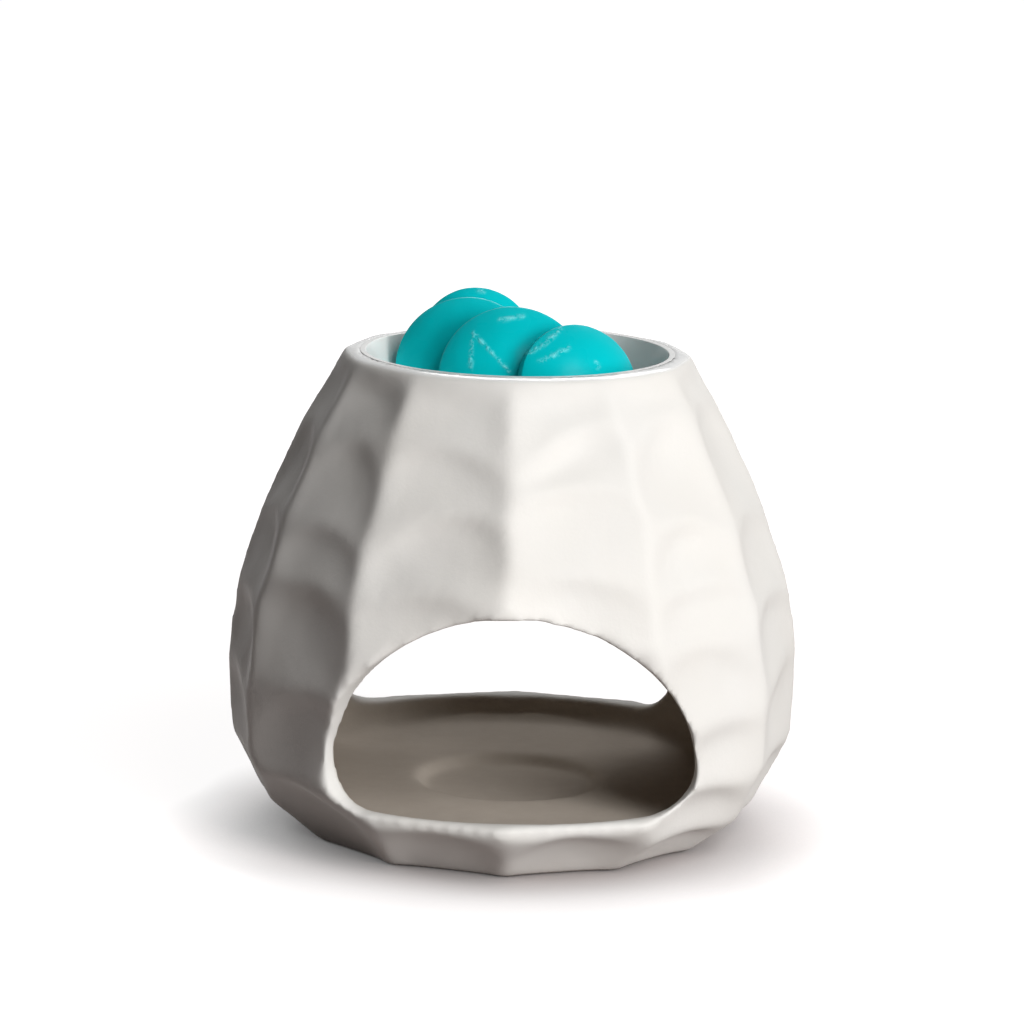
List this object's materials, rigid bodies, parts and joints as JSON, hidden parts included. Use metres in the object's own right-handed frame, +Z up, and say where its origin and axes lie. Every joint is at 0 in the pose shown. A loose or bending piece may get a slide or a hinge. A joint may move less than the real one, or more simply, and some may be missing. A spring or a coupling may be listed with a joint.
{
  "type": "wax melt warmer",
  "caption": "Round-bellied hand-carved ceramic wax melt warmer: open burner chamber with a tealight seat, and a lift-out dish in the rim that holds domed wax melts.",
  "frame": {"origin": "middle of the foot, on the table the warmer stands on", "axes": "+Z up the axis of the tealight seat, -Y out of the front opening, +X to the right seen from the front"},
  "size_m": [0.127, 0.1214, 0.1176],
  "materials": {
    "carved_ceramic": "matte",
    "glazed_dish": "gloss",
    "wax": "satin"
  },
  "bodies": {
    "burner": {"body_shell": "carved_ceramic"},
    "dish": {"melting_dish": "glazed_dish"},
    "melt_back": {"wax_melt_back": "wax"},
    "melt_left": {"wax_melt_left": "wax"},
    "melt_middle": {"wax_melt_middle": "wax"},
    "melt_right": {"wax_melt_right": "wax"}
  },
  "joints": [
    {"name": "dish_lift", "type": "slide", "parent": "burner", "child": "dish", "axis": [0, 0, 1], "range_m": [0, 0.05]},
    {"name": "melt_back_lift", "type": "slide", "parent": "dish", "child": "melt_back", "axis": [0, 0, 1], "range_m": [0, 0.045]},
    {"name": "melt_left_lift", "type": "slide", "parent": "melt_back", "child": "melt_left", "axis": [0, 0, 1], "range_m": [0, 0.045]},
    {"name": "melt_middle_lift", "type": "slide", "parent": "melt_left", "child": "melt_middle", "axis": [0, 0, 1], "range_m": [0, 0.045]},
    {"name": "melt_right_lift", "type": "slide", "parent": "melt_middle", "child": "melt_right", "axis": [0, 0, 1], "range_m": [0, 0.045]}
  ]
}
